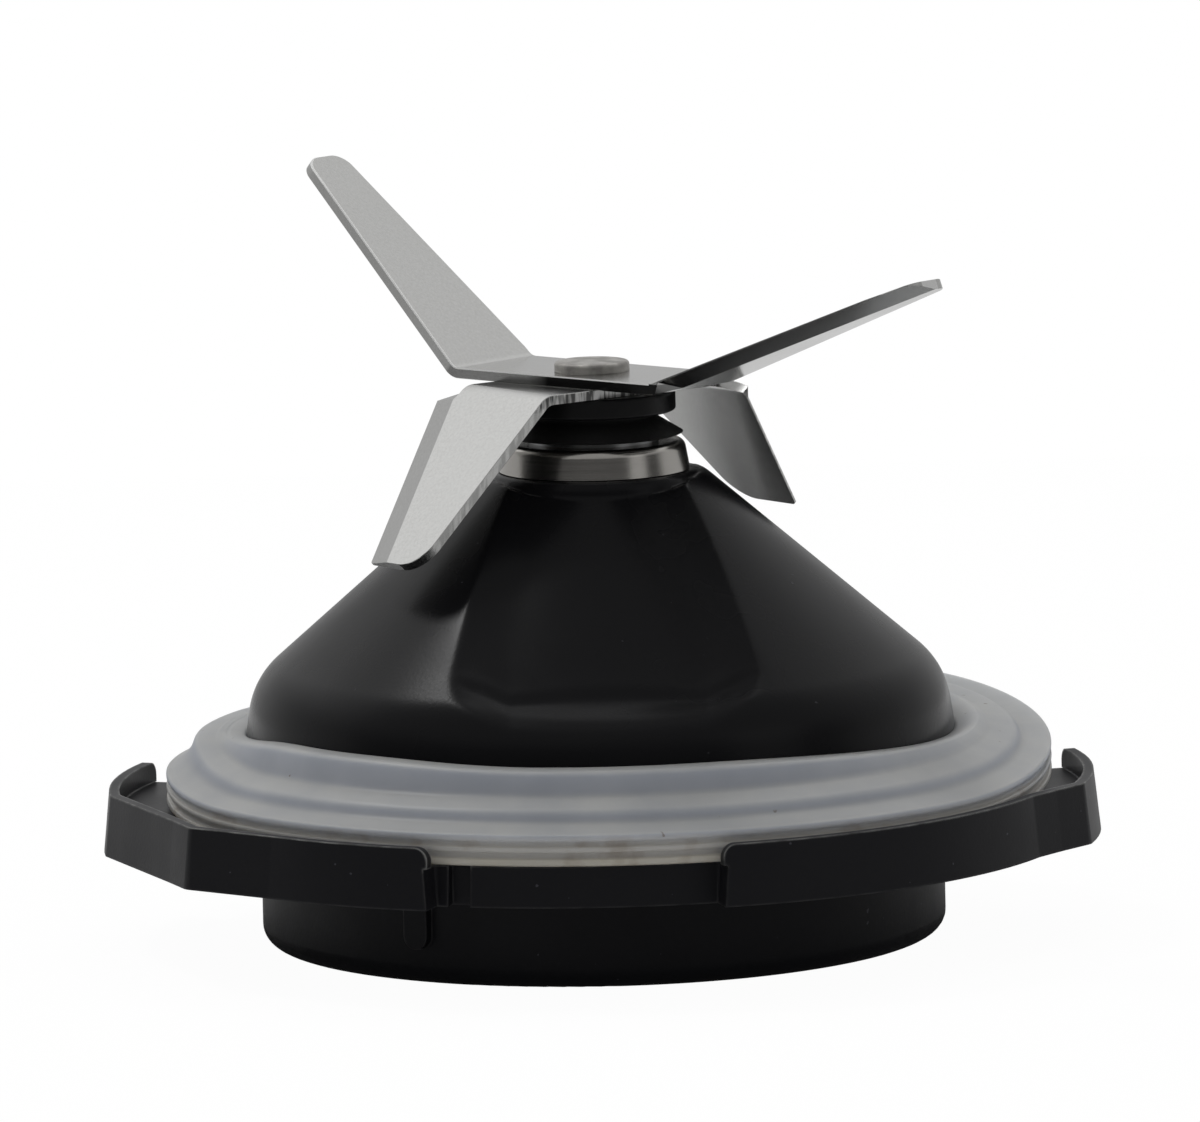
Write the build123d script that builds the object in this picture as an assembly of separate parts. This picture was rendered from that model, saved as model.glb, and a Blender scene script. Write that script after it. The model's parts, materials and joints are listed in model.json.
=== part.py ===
from build123d import *
import math
import os

# Blender blade assembly, in millimetres.
# Z is the turning axis and points up. Z = 0 is the foot of the skirt, and -Y is the front.
# Azimuths are in degrees, 0 at the front, growing towards +X.

# Locking base
skirt_radius = 34.75
skirt_wall = 3.0
skirt_height = 9.9
skirt_foot_round = 2.0
flange_thickness = 4.1
flange_opening = 18.0
rim_projection = 3.0
rim_wall = 1.7
rim_height = 2.1
rim_draft_angle = 6.0
rim_end_round = 1.4
rim_spans = ((-111.0, -21.5), (14.5, 105.5), (142.0, 214.0))
tab_reach = 2.7
tab_round = 2.0

# Rise of each grip tab, as azimuths with shares of its reach
left_tab = ((-44.0, 0.0), (-56.5, 0.78), (-62.3, 0.44), (-84.0, 1.0))
right_tab = ((46.0, 0.0), (71.0, 0.35), (76.5, 1.0))

# Stop rib and notch of the locking base
stop_rib_azimuth = -32.0
stop_rib_width = 2.7
stop_rib_depth = 1.0
stop_rib_length = 6.2
notch_azimuth = -18.6
notch_width = 2.3
notch_depth = 1.5

# Cone housing
cone_radius = 35.15
cone_corner_height = 26.75
cone_corner_round = 8.2
cone_foot_draft = 0.9
cone_draft_height = 5.8
cone_top_radius = 11.05
cone_top = 47.65
cone_top_round = 2.5
cone_wall = 3.0
cone_ceiling = 6.0
flute_azimuths = (1.4, 181.4)
flute_floor_depth = 1.5
flute_side_depth = 2.8
flute_top_round = 0.8
flute_ledge_rise = 0.3
flute_ledge_angle = 14.0
flute_ledge_width = 20.0
flute_end_angle = 19.0

# Seal and screws between cone and base
base_seal_width = 1.6
base_seal_height = 1.2
seal_clearance = 0.1
screw_count = 4
screw_head_gap = 0.25
screw_shank = 1.4
screw_length = 11.0
screw_head = 3.1
screw_head_height = 2.2
screw_clearance = 0.4
thread_allowance = 0.05
boss_wall = 2.0
boss_hole_spare = 1.0

# Jar gasket
gasket_clearance = 0.2
gasket_width = 8.75
rim_gap = 1.3
gasket_lip_height = 0.7
gasket_groove_height = 0.5
gasket_groove_depth = 1.2
gasket_thin_rib_height = 0.6
gasket_rib_height = 0.9
gasket_rib_round = 0.35
gasket_step_shares = (0.93, 0.68, 0.6, 0.29, 0.2)
gasket_step_rises = (0.1, 0.75, 1.45, 1.15, 2.15)

# Bearing housing in the top of the cone
collar_radius = 9.7
collar_top_radius = 9.2
collar_height = 2.9
collar_round = 0.9
housing_seat = 0.1
barrel_radius = 6.6
barrel_clearance = 0.15
barrel_length = 25.4
bush_radius = 5.2
upper_bush_length = 10.0
lower_bush_length = 8.0
shaft_seal_radius = 5.8
shaft_seal_height = 3.0
housing_gasket_width = 1.1
housing_gasket_height = 0.8
housing_washer_radius = 11.4
housing_washer_height = 1.0
nut_width = 19.0
nut_height = 4.5
press_clearance = 0.01
running_clearance = 0.04

# Shaft and what turns with it
shaft_radius = 4.0
shaft_collar_radius = 5.4
shaft_collar_top = 53.65
thrust_washer_radius = 6.6
thrust_washer_height = 0.5
thrust_gap = 0.05
tenon_radius = 3.0
tenon_flats = 4.6
tenon_clearance = 0.05
head_radius = 3.8
head_height = 1.0
head_round = 0.35
spacer_radius = 8.4
spacer_height = 2.1
spacer_round = 0.3
lip_seal_radius = 9.1
lip_seal_neck = 6.3
lip_seal_height = 2.4
lip_seal_edge = 0.3
lip_seal_neck_height = 0.5
end_washer_height = 0.8
clip_height = 0.9
clip_groove_depth = 0.8
clip_radius = 6.2
clip_mouth = 5.0
clip_gap = 0.05

# Blades
blade_thickness = 1.0
bend_inner_radius = 1.4
bevel_width = 3.4
bevel_depth = 0.75
shoulder_run = 0.8
upper_azimuth = -131.2
upper_bend = 12.8
upper_half_width = 6.05
upper_tip = 2.8
upper_lead_round = 1.7
upper_trail_round = 1.7
upper_left_length = 29.55
upper_left_lift = 41.1
upper_right_length = 33.5
upper_right_lift = 20.7
lower_azimuth = -52.3
lower_bend = 10.1
lower_half_width = 6.7
lower_shoulder = 10.4
lower_tip = 4.2
lower_lead_round = 0.3
lower_trail_round = 3.0
lower_front_length = 20.8
lower_front_drop = 47.2
lower_back_length = 17.4
lower_back_drop = 48.9

# Drive coupling
coupling_radius = 14.5
coupling_wall = 3.0
coupling_bottom = 3.0
coupling_web = 5.5
coupling_edge_round = 1.0
coupling_tooth_count = 12
coupling_tooth_height = 1.6
coupling_tooth_width = 2.2
coupling_top = 17.0
stud_radius = 3.0
hub_width = 13.0
hub_flange_radius = 8.0
hub_flange_height = 1.2

# Radii that follow from the sizes above
cone_foot_radius = cone_radius + cone_foot_draft
gasket_bore = cone_foot_radius + gasket_clearance
gasket_radius = gasket_bore + gasket_width
rim_radius = gasket_radius + rim_gap + rim_wall
flange_radius = rim_radius - rim_projection
tab_radius = rim_radius + tab_reach
screw_circle = skirt_radius - skirt_wall - screw_head - screw_head_gap

# Heights that follow from the sizes above
flange_top = skirt_height + flange_thickness
rim_top = flange_top + rim_height
collar_bottom = cone_top + housing_seat
collar_top = collar_bottom + collar_height
barrel_bottom = collar_bottom - barrel_length
ceiling_height = cone_top - cone_ceiling
shaft_collar_bottom = collar_top + thrust_washer_height + thrust_gap
spacer_top = shaft_collar_top + spacer_height
upper_blade_bottom = spacer_top + blade_thickness
head_bottom = upper_blade_bottom + blade_thickness
upper_bush_top = collar_top - shaft_seal_height
clip_top = barrel_bottom - end_washer_height - clip_gap
clip_bottom = clip_top - clip_height

# The cone's slope
cone_tangent = (cone_top - cone_corner_height) / (cone_radius - cone_top_radius)
cone_angle = math.atan(cone_tangent)

reach = 3 * tab_radius


def around(azimuth, radius, height=0.0):
    """Point at an azimuth, a radius and a height."""
    turn = math.radians(azimuth)
    return Vector(radius * math.sin(turn), -radius * math.cos(turn), height)


def rounded(outline, corner, radius):
    """Outline with the corner nearest to a point rounded."""
    nearest = outline.vertices().sort_by_distance(Vector(*corner))[0]
    return fillet(nearest, radius)


def outline_of(points):
    """Closed flat outline through radius and height points."""
    return make_face(Polyline(*points, close=True))


def turned(outline):
    """Solid of revolution of a radius and height outline about the axis."""
    return revolve(Plane.XZ * outline, Axis.Z)


def tube(inner, outer, bottom, top):
    """Plain ring between two radii and two heights."""
    return turned(outline_of([(inner, bottom), (outer, bottom), (outer, top), (inner, top)]))


def rod(radius, bottom, top):
    """Plain cylinder on the axis."""
    return Pos(0, 0, bottom) * Cylinder(radius, top - bottom, align=(Align.CENTER, Align.CENTER, Align.MIN))


def wedge(start, end):
    """Flat sector from the axis outwards, between two azimuths less than half a turn apart."""
    middle = (start + end) / 2
    return make_face(
        Polyline((0, 0), around(start, reach), around(middle, reach), around(end, reach), close=True)
    )


def slope_height(radius, inset=0.0):
    """Height of the cone's slope at a radius, set inwards square to the slope."""
    return cone_corner_height + (cone_radius - radius) * cone_tangent - inset / math.cos(cone_angle)


def slope_radius(height, inset=0.0):
    """Radius of the cone's slope at a height, set inwards square to the slope."""
    return cone_radius - (height - cone_corner_height) / cone_tangent - inset / math.sin(cone_angle)


def cone_outline(inset, corner_round, top_round):
    """Half section of the cone: drafted wall, slope, round corner and flat top."""
    corner = (cone_radius, slope_height(cone_radius, inset))
    knee = (cone_foot_radius, cone_corner_height - cone_draft_height)
    shoulder = (slope_radius(cone_top, inset), cone_top)
    foot = (cone_foot_radius, flange_top)
    outline = outline_of([(0, flange_top), foot, knee, corner, shoulder, (0, cone_top)])
    outline = rounded(outline, corner, corner_round)
    return rounded(outline, shoulder, top_round)


def beyond(origin, along, outward):
    """Everything on the outer side of a plane."""
    return Plane(origin, x_dir=along, z_dir=outward) * Box(
        reach, reach, reach, align=(Align.CENTER, Align.CENTER, Align.MIN)
    )


def flute_cut(azimuth):
    """Everything outside the flat sides of one flute, parallel to the slope there."""
    middle_radius = (cone_radius + cone_top_radius) / 2
    outward = around(azimuth, math.sin(cone_angle), math.cos(cone_angle))
    origin = around(azimuth, middle_radius, slope_height(middle_radius)) - outward * flute_side_depth
    return beyond(origin, around(azimuth + 90, 1), outward)


def flute_ledge(azimuth):
    """Everything below the ledge that ends a flute. The ledge falls outwards and rises at both ends."""
    fall = math.radians(flute_ledge_angle)
    half = flute_ledge_width / 2
    rise = (reach - half) * math.tan(math.radians(flute_end_angle))
    section = outline_of(
        [(-reach, -reach), (reach, -reach), (reach, rise), (half, 0), (-half, 0), (-reach, rise)]
    )
    origin = around(azimuth, cone_radius, cone_corner_height + flute_ledge_rise)
    outward = around(azimuth, math.cos(fall), -math.sin(fall))
    face = Plane(origin, x_dir=around(azimuth + 90, 1), z_dir=outward)
    return extrude(face * section, reach, both=True)


def screw_places():
    """Azimuths of the screws, midway between front, sides and back."""
    step = 360 / screw_count
    return [step * (index + 0.5) for index in range(screw_count)]


def upright(azimuth, radius, size, bottom, top):
    """Plain upright cylinder standing at an azimuth and a radius."""
    return Pos(*around(azimuth, radius)) * rod(size, bottom, top)


def base_seal_radii():
    """Inner and outer radius of the seal ring under the cone's foot."""
    middle = cone_foot_radius - cone_wall / 2
    return middle - base_seal_width / 2, middle + base_seal_width / 2


def make_cone_housing():
    """Hollow cone with lobes, recessed flutes, screw bosses and a seat for the bearing housing."""
    outside = turned(cone_outline(0, cone_corner_round, cone_top_round))
    core = turned(cone_outline(flute_floor_depth, flute_top_round, flute_top_round))
    for azimuth in flute_azimuths:
        outside -= flute_cut(azimuth) - core - flute_ledge(azimuth)

    inner_foot = (cone_foot_radius - cone_wall, flange_top)
    inner_corner = (inner_foot[0], slope_height(inner_foot[0], cone_wall))
    ceiling_edge = (slope_radius(ceiling_height, cone_wall), ceiling_height)
    hollow = outline_of([(0, flange_top), inner_foot, inner_corner, ceiling_edge, (0, ceiling_height)])
    cone = outside - turned(hollow)
    hole_depth = screw_length - flange_thickness + boss_hole_spare
    for azimuth in screw_places():
        boss = upright(azimuth, screw_circle, screw_shank + boss_wall, flange_top, cone_top)
        cone += boss & outside
    for azimuth in screw_places():
        hole = screw_shank + thread_allowance
        cone -= upright(azimuth, screw_circle, hole, flange_top, flange_top + hole_depth)
    gasket_seat = barrel_radius + barrel_clearance + housing_gasket_width + 2 * seal_clearance
    cone -= rod(gasket_seat, collar_bottom - housing_gasket_height, cone_top)
    return cone - rod(barrel_radius + barrel_clearance, ceiling_height, cone_top)


def ring_outline(extra):
    """Flat outline of flange, rim and tabs, with each rim end drawn out by an extra angle."""
    outline = Sketch() + Circle(flange_radius)
    for start, end in rim_spans:
        outline += Circle(rim_radius) & wedge(start - extra, end + extra)
    tabs = ((left_tab, rim_spans[0][0] - extra), (right_tab, rim_spans[1][1] + extra))
    for rise, end in tabs:
        points = [around(azimuth, rim_radius + share * tab_reach) for azimuth, share in rise]
        outside = points[-1] * 2 - points[-2]
        far_middle = around((rise[-1][0] + end) / 2, reach)
        outline += Circle(tab_radius) & make_face(
            Polyline((0, 0), *points[:-1], outside, far_middle, around(end, reach), close=True)
        )
        for point in points:
            outline = rounded(outline, point, tab_round)
    return outline


def make_locking_base():
    """Flange with rim wall and grip tabs, on a skirt that is open below."""
    bottom = Pos(0, 0, skirt_height)
    plate = bottom * extrude(ring_outline(0), flange_thickness, taper=rim_draft_angle)
    long_outline = ring_outline(2 * math.degrees(rim_wall / rim_radius))
    shell = bottom * extrude(long_outline, flange_thickness + rim_height, taper=rim_draft_angle)
    wall_ends = Sketch() + [wedge(start, end) for start, end in rim_spans]
    wall_ends -= offset(long_outline, -rim_wall) + Circle(rim_radius - rim_wall)
    wall = shell & Pos(0, 0, flange_top) * extrude(wall_ends, rim_height)
    top_edges = wall.faces().sort_by(Axis.Z)[-len(rim_spans):].edges()
    end_edges = top_edges.filter_by(GeomType.LINE).filter_by(lambda edge: edge.length < 1.2 * rim_wall)
    wall = fillet(end_edges, rim_end_round)

    foot = (skirt_radius, 0)
    inside = skirt_radius - skirt_wall
    skirt = outline_of([(inside, 0), foot, (skirt_radius, skirt_height), (inside, skirt_height)])
    skirt = turned(rounded(skirt, foot, skirt_foot_round))
    rib_frame = Pos(*around(stop_rib_azimuth, skirt_radius, skirt_height)) * Rot(0, 0, stop_rib_azimuth)
    rib_bottom = rib_frame * Pos(0, 0, stop_rib_width / 2 - stop_rib_length)
    rib = rib_bottom * Rot(90, 0, 0) * Cylinder(stop_rib_width / 2, 2 * stop_rib_depth)
    rib += rib_bottom * Box(
        stop_rib_width,
        2 * stop_rib_depth,
        stop_rib_length - stop_rib_width / 2,
        align=(Align.CENTER, Align.CENTER, Align.MIN),
    )
    base = plate + wall + skirt + rib

    notch_frame = Pos(*around(notch_azimuth, flange_radius, skirt_height)) * Rot(0, 0, notch_azimuth)
    base -= notch_frame * Box(
        notch_width, 2 * notch_depth, flange_thickness, align=(Align.CENTER, Align.CENTER, Align.MIN)
    )
    base -= rod(flange_opening, skirt_height, flange_top)
    seal_inner, seal_outer = base_seal_radii()
    seal_bottom = flange_top - base_seal_height
    base -= tube(seal_inner - seal_clearance, seal_outer + seal_clearance, seal_bottom, flange_top)
    for azimuth in screw_places():
        base -= upright(azimuth, screw_circle, screw_shank + screw_clearance, skirt_height, flange_top)
    return base


def make_base_seal():
    """Flat rubber ring in the groove under the cone's foot."""
    seal_inner, seal_outer = base_seal_radii()
    return tube(seal_inner, seal_outer, flange_top - base_seal_height, flange_top)


def make_base_screws():
    """Pan head screws, driven up through the flange into the cone's bosses."""
    head_top = skirt_height
    screws = []
    for azimuth in screw_places():
        head = rod(screw_head, head_top - screw_head_height, head_top)
        low_edge = head.edges().filter_by(GeomType.CIRCLE).sort_by(Axis.Z)[0]
        head = fillet(low_edge, screw_head_height / 2)
        screw = head + rod(screw_shank, head_top, head_top + screw_length)
        screws.append(Pos(*around(azimuth, screw_circle)) * screw)
    return Compound(children=screws)


def make_jar_gasket():
    """Stepped silicone ring that sits on the flange around the cone."""
    groove = gasket_radius - gasket_groove_depth
    lip_top = flange_top + gasket_lip_height
    thin_rib_bottom = lip_top + gasket_groove_height
    thin_rib_top = thin_rib_bottom + gasket_thin_rib_height
    rib_bottom = thin_rib_top + gasket_groove_height
    height = rib_bottom + gasket_rib_height
    rib_edge = (gasket_radius, height)
    points = [
        (gasket_bore, flange_top),
        (gasket_radius, flange_top),
        (gasket_radius, lip_top),
        (groove, lip_top),
        (groove, thin_rib_bottom),
        (gasket_radius, thin_rib_bottom),
        (gasket_radius, thin_rib_top),
        (groove, thin_rib_top),
        (groove, rib_bottom),
        (gasket_radius, rib_bottom),
        rib_edge,
    ]
    for share, rise in zip(gasket_step_shares, gasket_step_rises):
        height += rise
        points.append((gasket_bore + share * (gasket_radius - gasket_bore), height))
    points.append((gasket_bore, height))
    return turned(rounded(outline_of(points), rib_edge, gasket_rib_round))


def make_bearing_housing():
    """Turned collar on top of the cone, with a barrel that holds the bearings."""
    top_edge = (collar_top_radius, collar_top)
    bore = bush_radius + press_clearance
    seal_seat = shaft_seal_radius + press_clearance
    outline = outline_of(
        [
            (bore, barrel_bottom),
            (barrel_radius, barrel_bottom),
            (barrel_radius, collar_bottom),
            (collar_radius, collar_bottom),
            top_edge,
            (seal_seat, collar_top),
            (seal_seat, upper_bush_top),
            (bore, upper_bush_top),
        ]
    )
    return turned(rounded(outline, top_edge, collar_round))


def make_housing_nut():
    """Hexagon nut that clamps the bearing housing under the cone's top."""
    top = ceiling_height - housing_washer_height
    blank = extrude(RegularPolygon(nut_width / 2, 6, major_radius=False), nut_height)
    return Pos(0, 0, top - nut_height) * blank - rod(barrel_radius + press_clearance, top - nut_height, top)


def tenon_outline(clearance):
    """Round section with two flats that keeps the blades from turning on the shaft."""
    return Circle(tenon_radius + clearance) & Rectangle(2 * reach, tenon_flats + 2 * clearance)


def make_blade_shaft():
    """Shaft with riveted head, blade tenon, collar, clip groove and threaded stud."""
    head_edge = (head_radius, head_bottom + head_height)
    head = outline_of([(0, head_bottom), (head_radius, head_bottom), head_edge, (0, head_edge[1])])
    head = turned(rounded(head, head_edge, head_round))
    tenon = Pos(0, 0, shaft_collar_top) * extrude(tenon_outline(0), head_bottom - shaft_collar_top)
    shaft = head + Rot(0, 0, upper_azimuth) * tenon
    shaft += rod(shaft_collar_radius, shaft_collar_bottom, shaft_collar_top)
    shaft += rod(shaft_radius, coupling_top, shaft_collar_bottom)
    shaft += rod(stud_radius, coupling_top - coupling_web, coupling_top)
    groove_top = clip_top
    groove_bottom = clip_bottom - clip_gap
    return shaft - tube(shaft_radius - clip_groove_depth, 2 * shaft_radius, groove_bottom, groove_top)


def tenon_hole(bottom, height):
    """Cutter for the hole that fits over the tenon."""
    hole = extrude(tenon_outline(tenon_clearance), height)
    return Pos(0, 0, bottom) * Rot(0, 0, upper_azimuth) * hole


def make_blade_spacer():
    """Black washer between the shaft's collar and the blades."""
    low = (spacer_radius, shaft_collar_top)
    high = (spacer_radius, spacer_top)
    outline = outline_of([(0, shaft_collar_top), low, high, (0, spacer_top)])
    outline = rounded(rounded(outline, low, spacer_round), high, spacer_round)
    return turned(outline) - tenon_hole(shaft_collar_top, spacer_height)


def make_lip_seal():
    """Rubber ring on the shaft's collar that flares down to a thin lip."""
    inner = shaft_collar_radius + press_clearance
    bottom = shaft_collar_top - lip_seal_height
    shoulder = (lip_seal_neck, shaft_collar_top - lip_seal_neck_height)
    outline = outline_of(
        [
            (inner, bottom),
            (lip_seal_neck, bottom),
            (lip_seal_neck, bottom + lip_seal_height / 4),
            (lip_seal_radius - lip_seal_edge, bottom),
            (lip_seal_radius, bottom + lip_seal_edge / 2),
            shoulder,
            (lip_seal_neck, shaft_collar_top),
            (inner, shaft_collar_top),
        ]
    )
    return turned(rounded(outline, shoulder, 2 * lip_seal_edge))


def make_retaining_clip():
    """Open ring in the shaft's groove that holds the shaft up."""
    ring = tube(shaft_radius - clip_groove_depth + clip_gap, clip_radius, clip_bottom, clip_top)
    mouth = Box(clip_mouth, 2 * clip_radius, 2 * clip_height, align=(Align.CENTER, Align.MIN, Align.CENTER))
    return ring - Pos(0, 0, clip_top) * mouth


def blade_arm(shape, length, lift):
    """Bend and tapered arm along +X, ground on the bend's outer side. A negative lift bends it down."""
    bend_start, half_width, shoulder, tip, lead_round, trail_round = shape
    if lift > 0:
        axis = Axis((bend_start, 0, blade_thickness + bend_inner_radius), (0, -1, 0))
        ground = Vector(0, 0, -1)
        land = bevel_depth
    else:
        axis = Axis((bend_start, 0, -bend_inner_radius), (0, 1, 0))
        ground = Vector(0, 0, 1)
        land = blade_thickness - bevel_depth
    section = Pos(0, blade_thickness / 2) * Rectangle(2 * half_width, blade_thickness)
    bend = revolve(Plane.YZ.offset(bend_start) * section, axis, abs(lift))

    end = bend_start + length
    lead = (bend_start + shoulder_run, -shoulder)
    outline = outline_of(
        [(bend_start, half_width), (bend_start, -half_width), lead, (end, -tip), (end, tip)]
    )
    outline = rounded(outline, (end, -tip), lead_round)
    outline = rounded(outline, (end, tip), trail_round)
    edge = Vector(length - shoulder_run, shoulder - tip, 0).normalized()
    outward = Vector(edge.Y, -edge.X, 0) * bevel_depth + ground * bevel_width
    plate = extrude(outline, blade_thickness) - beyond(Vector(*lead, land), edge, outward)
    return bend + plate.rotate(axis, abs(lift))


def make_blade(bottom, azimuth, shape, first_arm, second_arm):
    """Stamped and bent sheet with two opposite arms. The azimuth is the first arm's."""
    bend_start, half_width = shape[:2]
    hub = Rectangle(2 * bend_start, 2 * half_width)
    blade = extrude(hub, blade_thickness)
    for turn, (length, lift) in ((0, first_arm), (180, second_arm)):
        blade += Rot(0, 0, turn) * blade_arm(shape, length, lift)
    blade = Pos(0, 0, bottom) * Rot(0, 0, azimuth - 90) * blade
    return blade - tenon_hole(bottom, blade_thickness)


def make_coupling_hub():
    """Threaded metal hub on the stud, moulded into the coupling."""
    bottom = coupling_top - coupling_web
    hexagon = extrude(RegularPolygon(hub_width / 2, 6, major_radius=False), coupling_web - hub_flange_height)
    hub = Pos(0, 0, bottom) * hexagon
    hub += rod(hub_flange_radius, coupling_top - hub_flange_height, coupling_top)
    return hub - rod(stud_radius + press_clearance, bottom, coupling_top)


def make_drive_coupling(hub):
    """Plastic cup, open below, with teeth inside its wall and the metal hub in its web."""
    socket = coupling_radius - coupling_wall
    web_bottom = coupling_top - coupling_web
    top_edge = (coupling_radius, coupling_top)
    outline = outline_of([(0, web_bottom), (socket, web_bottom), (socket, coupling_bottom),
                          (coupling_radius, coupling_bottom), top_edge, (0, coupling_top)])
    cup = turned(rounded(outline, top_edge, coupling_edge_round))
    tooth = Box(
        coupling_tooth_width,
        2 * coupling_tooth_height,
        web_bottom - coupling_bottom,
        align=(Align.CENTER, Align.CENTER, Align.MIN),
    )
    for index in range(coupling_tooth_count):
        azimuth = 360 * index / coupling_tooth_count
        place = Pos(*around(azimuth, socket, coupling_bottom)) * Rot(0, 0, azimuth)
        cup += place * tooth
    return cup - hub - rod(stud_radius + press_clearance, web_bottom, coupling_top)


coupling_hub = make_coupling_hub()
bush_bore = shaft_radius + running_clearance
seat_bore = barrel_radius + barrel_clearance
seat_inner = seat_bore + seal_clearance
felt_bottom = barrel_bottom + lower_bush_length
felt_top = upper_bush_top - upper_bush_length
washer_bottom = ceiling_height - housing_washer_height
seat_bottom = collar_bottom - housing_gasket_height
upper_rounds = (upper_lead_round, upper_trail_round)
upper_shape = (upper_bend, upper_half_width, upper_half_width, upper_tip, *upper_rounds)
upper_left = (upper_left_length, upper_left_lift)
upper_right = (upper_right_length, upper_right_lift)
lower_rounds = (lower_lead_round, lower_trail_round)
lower_shape = (lower_bend, lower_half_width, lower_shoulder, lower_tip, *lower_rounds)
lower_front = (lower_front_length, -lower_front_drop)
lower_back = (lower_back_length, -lower_back_drop)

pieces = {
    "locking_base": make_locking_base(),
    "base_seal": make_base_seal(),
    "base_screws": make_base_screws(),
    "cone_housing": make_cone_housing(),
    "jar_gasket": make_jar_gasket(),
    "bearing_housing": make_bearing_housing(),
    "housing_gasket": tube(seat_inner, seat_inner + housing_gasket_width, seat_bottom, collar_bottom),
    "housing_washer": tube(seat_bore, housing_washer_radius, washer_bottom, ceiling_height),
    "housing_nut": make_housing_nut(),
    "shaft_seal": tube(bush_bore, shaft_seal_radius, upper_bush_top, collar_top),
    "upper_bush": tube(bush_bore, bush_radius, felt_top, upper_bush_top),
    "oil_felt": tube(bush_bore, bush_radius, felt_bottom, felt_top),
    "lower_bush": tube(bush_bore, bush_radius, barrel_bottom, felt_bottom),
    "end_washer": tube(bush_bore, barrel_radius, barrel_bottom - end_washer_height, barrel_bottom),
    "thrust_washer": tube(bush_bore, thrust_washer_radius, collar_top, collar_top + thrust_washer_height),
    "retaining_clip": make_retaining_clip(),
    "blade_shaft": make_blade_shaft(),
    "lip_seal": make_lip_seal(),
    "blade_spacer": make_blade_spacer(),
    "lower_blade": make_blade(spacer_top, lower_azimuth, lower_shape, lower_front, lower_back),
    "upper_blade": make_blade(upper_blade_bottom, upper_azimuth, upper_shape, upper_left, upper_right),
    "coupling_hub": coupling_hub,
    "drive_coupling": make_drive_coupling(coupling_hub),
}

os.makedirs("parts", exist_ok=True)
for name, piece in pieces.items():
    export_step(piece, f"parts/{name}.step")
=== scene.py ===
import json
import math

import bpy
import numpy as np
from mathutils import Matrix, Vector


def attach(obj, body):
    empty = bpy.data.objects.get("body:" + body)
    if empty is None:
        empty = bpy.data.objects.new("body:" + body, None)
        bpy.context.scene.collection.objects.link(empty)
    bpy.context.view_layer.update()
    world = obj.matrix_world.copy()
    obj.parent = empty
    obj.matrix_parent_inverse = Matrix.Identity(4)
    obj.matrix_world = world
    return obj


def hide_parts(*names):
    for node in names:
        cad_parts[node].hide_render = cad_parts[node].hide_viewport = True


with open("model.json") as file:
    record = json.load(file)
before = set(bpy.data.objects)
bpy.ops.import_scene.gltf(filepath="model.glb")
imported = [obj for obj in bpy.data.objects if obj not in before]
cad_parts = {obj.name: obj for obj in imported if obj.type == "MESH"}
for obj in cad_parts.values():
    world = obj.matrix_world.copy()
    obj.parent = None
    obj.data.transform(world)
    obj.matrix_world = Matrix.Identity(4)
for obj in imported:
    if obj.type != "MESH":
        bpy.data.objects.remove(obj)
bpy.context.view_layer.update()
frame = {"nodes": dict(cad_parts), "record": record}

MM = 0.001
nodes = frame["nodes"]
scene = bpy.context.scene

# The photograph's frame and viewpoint
FRAME_WIDTH_PX = 1200
FOCAL_PX = 14782.0
SENSOR_MM = 36.0
NEAR_CLIP = 0.01
VIEW_DISTANCE = 1.500
VIEW_ELEVATION = math.radians(7.9)
VIEW_ROLL = math.radians(-1.31)
VIEW_TARGET = Vector((0.37, 0.0, 38.24)) * MM


def make_camera():
    """Camera at the photograph's distance, elevation and roll, aimed at the middle of the part."""
    data = bpy.data.cameras.new("view_camera")
    data.sensor_width = SENSOR_MM
    data.lens = FOCAL_PX / FRAME_WIDTH_PX * SENSOR_MM
    data.clip_start = NEAR_CLIP
    camera = bpy.data.objects.new("view_camera", data)
    scene.collection.objects.link(camera)
    ahead = Vector((0.0, math.cos(VIEW_ELEVATION), -math.sin(VIEW_ELEVATION)))
    level_up = Vector((0.0, math.sin(VIEW_ELEVATION), math.cos(VIEW_ELEVATION)))
    level_right = Vector((1.0, 0.0, 0.0))
    right = math.cos(VIEW_ROLL) * level_right + math.sin(VIEW_ROLL) * level_up
    up = math.cos(VIEW_ROLL) * level_up - math.sin(VIEW_ROLL) * level_right
    turn = Matrix((right, up, -ahead)).transposed().to_4x4()
    camera.matrix_world = Matrix.Translation(VIEW_TARGET - VIEW_DISTANCE * ahead) @ turn
    scene.camera = camera


# Ranges of values in a finish: the middle band of a noise, and what a range is mapped to
BAND = (0.3, 0.7)
RISING = (0.0, 1.0)
FALLING = (1.0, 0.0)
RANGE_SOCKETS = ("From Min", "From Max", "To Min", "To Max")
# A colour mix has sockets of the same name for each kind of data: these belong to colours
MIX_FIRST, MIX_SECOND, MIX_RESULT = 6, 7, 2


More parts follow.
